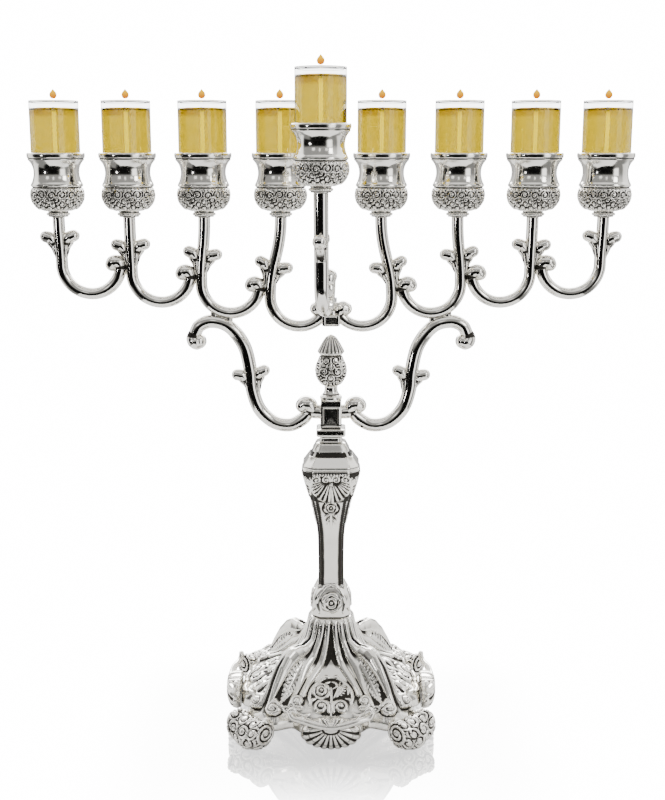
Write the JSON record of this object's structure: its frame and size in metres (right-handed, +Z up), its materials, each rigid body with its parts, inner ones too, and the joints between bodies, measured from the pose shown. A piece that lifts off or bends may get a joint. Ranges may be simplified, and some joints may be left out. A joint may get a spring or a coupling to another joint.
{
  "type": "menorah",
  "caption": "Hanukkah menorah: a row of scrolled silver branches with glass oil cups and a forward servant light, on a tapered stem and a footed rococo base.",
  "frame": {"origin": "on the stem's axis, at the plane the feet rest on", "axes": "+Z up, the row of branches along X, the servant light towards -Y"},
  "size_m": [0.351, 0.1304, 0.3921],
  "materials": {
    "silver_tubes": "polished silver plate",
    "silver_base": "antiqued silver plate, dark in the recesses",
    "silver_stem": "antiqued silver plate, dark in the recesses",
    "silver_cups": "antiqued silver plate, dark in the recesses",
    "steel_hardware": "zinc-plated steel",
    "clear_glass": "clear, fire polished",
    "lamp_oil": "clear yellow oil",
    "cotton_wick": "braided cotton, charred tip"
  },
  "bodies": {
    "stand": {"base_casting": "silver_base", "base_washer": "steel_hardware", "base_nut": "steel_hardware", "tie_rod": "steel_hardware", "column_casting": "silver_stem", "column_cap": "silver_stem", "arm_block": "silver_stem", "finial": "silver_stem", "lower_arm_right": "silver_tubes", "lower_arm_left": "silver_tubes", "top_hub": "silver_tubes", "shamash_pivot_screw": "steel_hardware", "cup_collars": "silver_tubes", "branch_right_1": "silver_tubes", "branch_right_2": "silver_tubes", "branch_right_3": "silver_tubes", "branch_right_4": "silver_tubes", "branch_left_1": "silver_tubes", "branch_left_2": "silver_tubes", "branch_left_3": "silver_tubes", "branch_left_4": "silver_tubes", "cup_right_1": "silver_cups", "cup_right_2": "silver_cups", "cup_right_3": "silver_cups", "cup_right_4": "silver_cups", "cup_left_1": "silver_cups", "cup_left_2": "silver_cups", "cup_left_3": "silver_cups", "cup_left_4": "silver_cups"},
    "shamash": {"shamash_arm": "silver_tubes", "shamash_collar": "silver_tubes", "cup_shamash": "silver_cups"},
    "oil_light_right_1": {"glass_right_1": "clear_glass", "oil_right_1": "lamp_oil", "wick_right_1": "cotton_wick"},
    "oil_light_right_2": {"glass_right_2": "clear_glass", "oil_right_2": "lamp_oil", "wick_right_2": "cotton_wick"},
    "oil_light_right_3": {"glass_right_3": "clear_glass", "oil_right_3": "lamp_oil", "wick_right_3": "cotton_wick"},
    "oil_light_right_4": {"glass_right_4": "clear_glass", "oil_right_4": "lamp_oil", "wick_right_4": "cotton_wick"},
    "oil_light_left_1": {"glass_left_1": "clear_glass", "oil_left_1": "lamp_oil", "wick_left_1": "cotton_wick"},
    "oil_light_left_2": {"glass_left_2": "clear_glass", "oil_left_2": "lamp_oil", "wick_left_2": "cotton_wick"},
    "oil_light_left_3": {"glass_left_3": "clear_glass", "oil_left_3": "lamp_oil", "wick_left_3": "cotton_wick"},
    "oil_light_left_4": {"glass_left_4": "clear_glass", "oil_left_4": "lamp_oil", "wick_left_4": "cotton_wick"},
    "oil_light_shamash": {"glass_shamash": "clear_glass", "oil_shamash": "lamp_oil", "wick_shamash": "cotton_wick"}
  },
  "joints": [
    {"name": "shamash_swivel", "type": "hinge", "parent": "stand", "child": "shamash", "pos_m": [0, 0, 0.259], "axis": [0, 0, 1], "range_deg": [-18, 30]},
    {"name": "lift_right_1", "type": "slide", "parent": "stand", "child": "oil_light_right_1", "axis": [0, 0, 1], "range_m": [0, 0.045]},
    {"name": "lift_right_2", "type": "slide", "parent": "stand", "child": "oil_light_right_2", "axis": [0, 0, 1], "range_m": [0, 0.045]},
    {"name": "lift_right_3", "type": "slide", "parent": "stand", "child": "oil_light_right_3", "axis": [0, 0, 1], "range_m": [0, 0.045]},
    {"name": "lift_right_4", "type": "slide", "parent": "stand", "child": "oil_light_right_4", "axis": [0, 0, 1], "range_m": [0, 0.045]},
    {"name": "lift_left_1", "type": "slide", "parent": "stand", "child": "oil_light_left_1", "axis": [0, 0, 1], "range_m": [0, 0.045]},
    {"name": "lift_left_2", "type": "slide", "parent": "stand", "child": "oil_light_left_2", "axis": [0, 0, 1], "range_m": [0, 0.045]},
    {"name": "lift_left_3", "type": "slide", "parent": "stand", "child": "oil_light_left_3", "axis": [0, 0, 1], "range_m": [0, 0.045]},
    {"name": "lift_left_4", "type": "slide", "parent": "stand", "child": "oil_light_left_4", "axis": [0, 0, 1], "range_m": [0, 0.045]},
    {"name": "lift_shamash", "type": "slide", "parent": "shamash", "child": "oil_light_shamash", "axis": [0, 0, 1], "range_m": [0, 0.045]}
  ]
}
